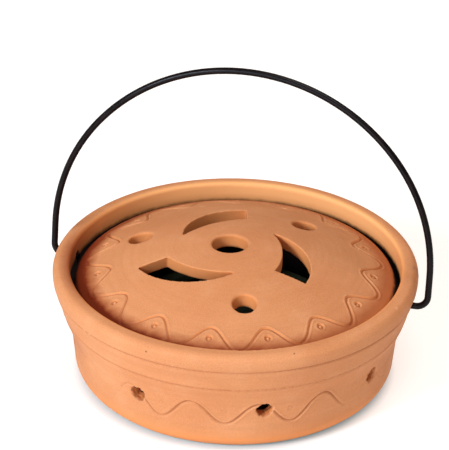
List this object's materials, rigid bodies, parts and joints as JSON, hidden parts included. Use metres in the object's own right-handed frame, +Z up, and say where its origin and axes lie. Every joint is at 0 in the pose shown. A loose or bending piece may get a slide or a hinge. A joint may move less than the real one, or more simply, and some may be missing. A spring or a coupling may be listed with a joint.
{
  "type": "terracotta smoke bowl",
  "caption": "Round terracotta bowl with a domed, vented drop-in lid, a wire bail handle and a tin stand that holds a smouldering smoke coil inside.",
  "frame": {"origin": "centre of the bowl's flat underside, on the floor", "axes": "+Z up, -Y the front, +X to the viewer's right"},
  "size_m": [0.1719, 0.165, 0.1438],
  "materials": {
    "terracotta_bowl": "unglazed, matte, fine grain",
    "terracotta_lid": "unglazed, matte, fine grain",
    "black_wire": "satin",
    "tin_plate": "dull",
    "pressed_coil": "matte, pressed powder"
  },
  "bodies": {
    "bowl": {"bowl": "terracotta_bowl"},
    "lid": {"lid": "terracotta_lid"},
    "bail": {"bail_handle": "black_wire"},
    "stand": {"coil_stand": "tin_plate"},
    "coil": {"smoking_coil": "pressed_coil"}
  },
  "joints": [
    {"name": "bail_swing", "type": "hinge", "parent": "bowl", "child": "bail", "pos_m": [0, 0, 0.045], "axis": [0.9681, -0.2504, 0], "range_deg": [-106.8, 123.8]},
    {"name": "lid_lift", "type": "slide", "parent": "bowl", "child": "lid", "axis": [0, 0, 1], "range_m": [0, 0.035]},
    {"name": "stand_lift", "type": "slide", "parent": "bowl", "child": "stand", "axis": [0, 0, 1], "range_m": [0, 0.006]},
    {"name": "coil_lift", "type": "slide", "parent": "stand", "child": "coil", "axis": [0, 0, 1], "range_m": [0, 0.008]}
  ]
}
